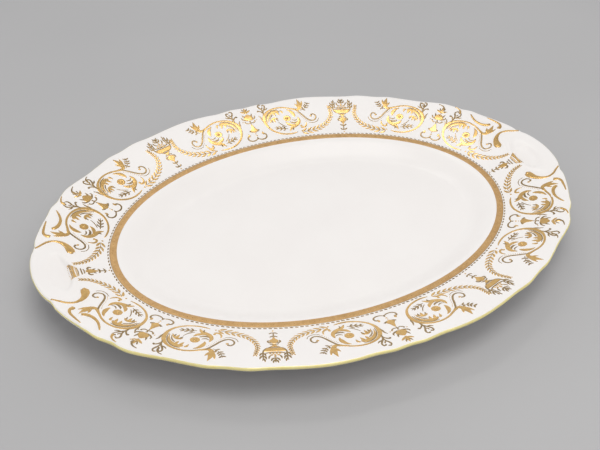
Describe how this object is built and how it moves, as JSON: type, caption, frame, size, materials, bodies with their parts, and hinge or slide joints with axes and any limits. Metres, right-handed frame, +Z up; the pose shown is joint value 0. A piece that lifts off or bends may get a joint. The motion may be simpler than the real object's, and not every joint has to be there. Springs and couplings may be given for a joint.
{
  "type": "china serving platter",
  "caption": "Oval porcelain serving platter with a scalloped rim, two lug handles and a sunken well, edged and painted with gold garlands, scrolls and urns.",
  "frame": {"origin": "on the table, in the middle of the foot ring", "axes": "+X along the long axis towards one lug handle, +Y across, +Z up"},
  "size_m": [0.3836, 0.2792, 0.0294],
  "materials": {
    "porcelain": "clear gloss glaze over white bone china, unglazed on the foot ring",
    "gold": "burnished fired gold, slightly brown and soft-edged"
  },
  "bodies": {
    "root": {"candelabra_back": "gold", "candelabra_diagonal_left_back": "gold", "candelabra_diagonal_left_front": "gold", "candelabra_diagonal_right_back": "gold", "candelabra_diagonal_right_front": "gold", "candelabra_front": "gold", "dashed_line": "gold", "edge_gilding": "gold", "garland_centre_left_back": "gold", "garland_centre_left_front": "gold", "garland_centre_right_back": "gold", "garland_centre_right_front": "gold", "garland_handle_left_back": "gold", "garland_handle_left_front": "gold", "garland_handle_right_back": "gold", "garland_handle_right_front": "gold", "garland_side_left_back": "gold", "garland_side_left_front": "gold", "garland_side_right_back": "gold", "garland_side_right_front": "gold", "lug_scroll_left_back": "gold", "lug_scroll_left_front": "gold", "lug_scroll_right_back": "gold", "lug_scroll_right_front": "gold", "medallion_centre_left_back": "gold", "medallion_centre_left_front": "gold", "medallion_centre_right_back": "gold", "medallion_centre_right_front": "gold", "medallion_handle_left_back": "gold", "medallion_handle_left_front": "gold", "medallion_handle_right_back": "gold", "medallion_handle_right_front": "gold", "medallion_side_left_back": "gold", "medallion_side_left_front": "gold", "medallion_side_right_back": "gold", "medallion_side_right_front": "gold", "palmette_left": "gold", "palmette_right": "gold", "platter_body": "porcelain", "relief_strokes_left_back": "gold", "relief_strokes_left_front": "gold", "relief_strokes_right_back": "gold", "relief_strokes_right_front": "gold", "urn_left_back": "gold", "urn_left_front": "gold", "urn_right_back": "gold", "urn_right_front": "gold", "well_band": "gold"}
  },
  "joints": []
}
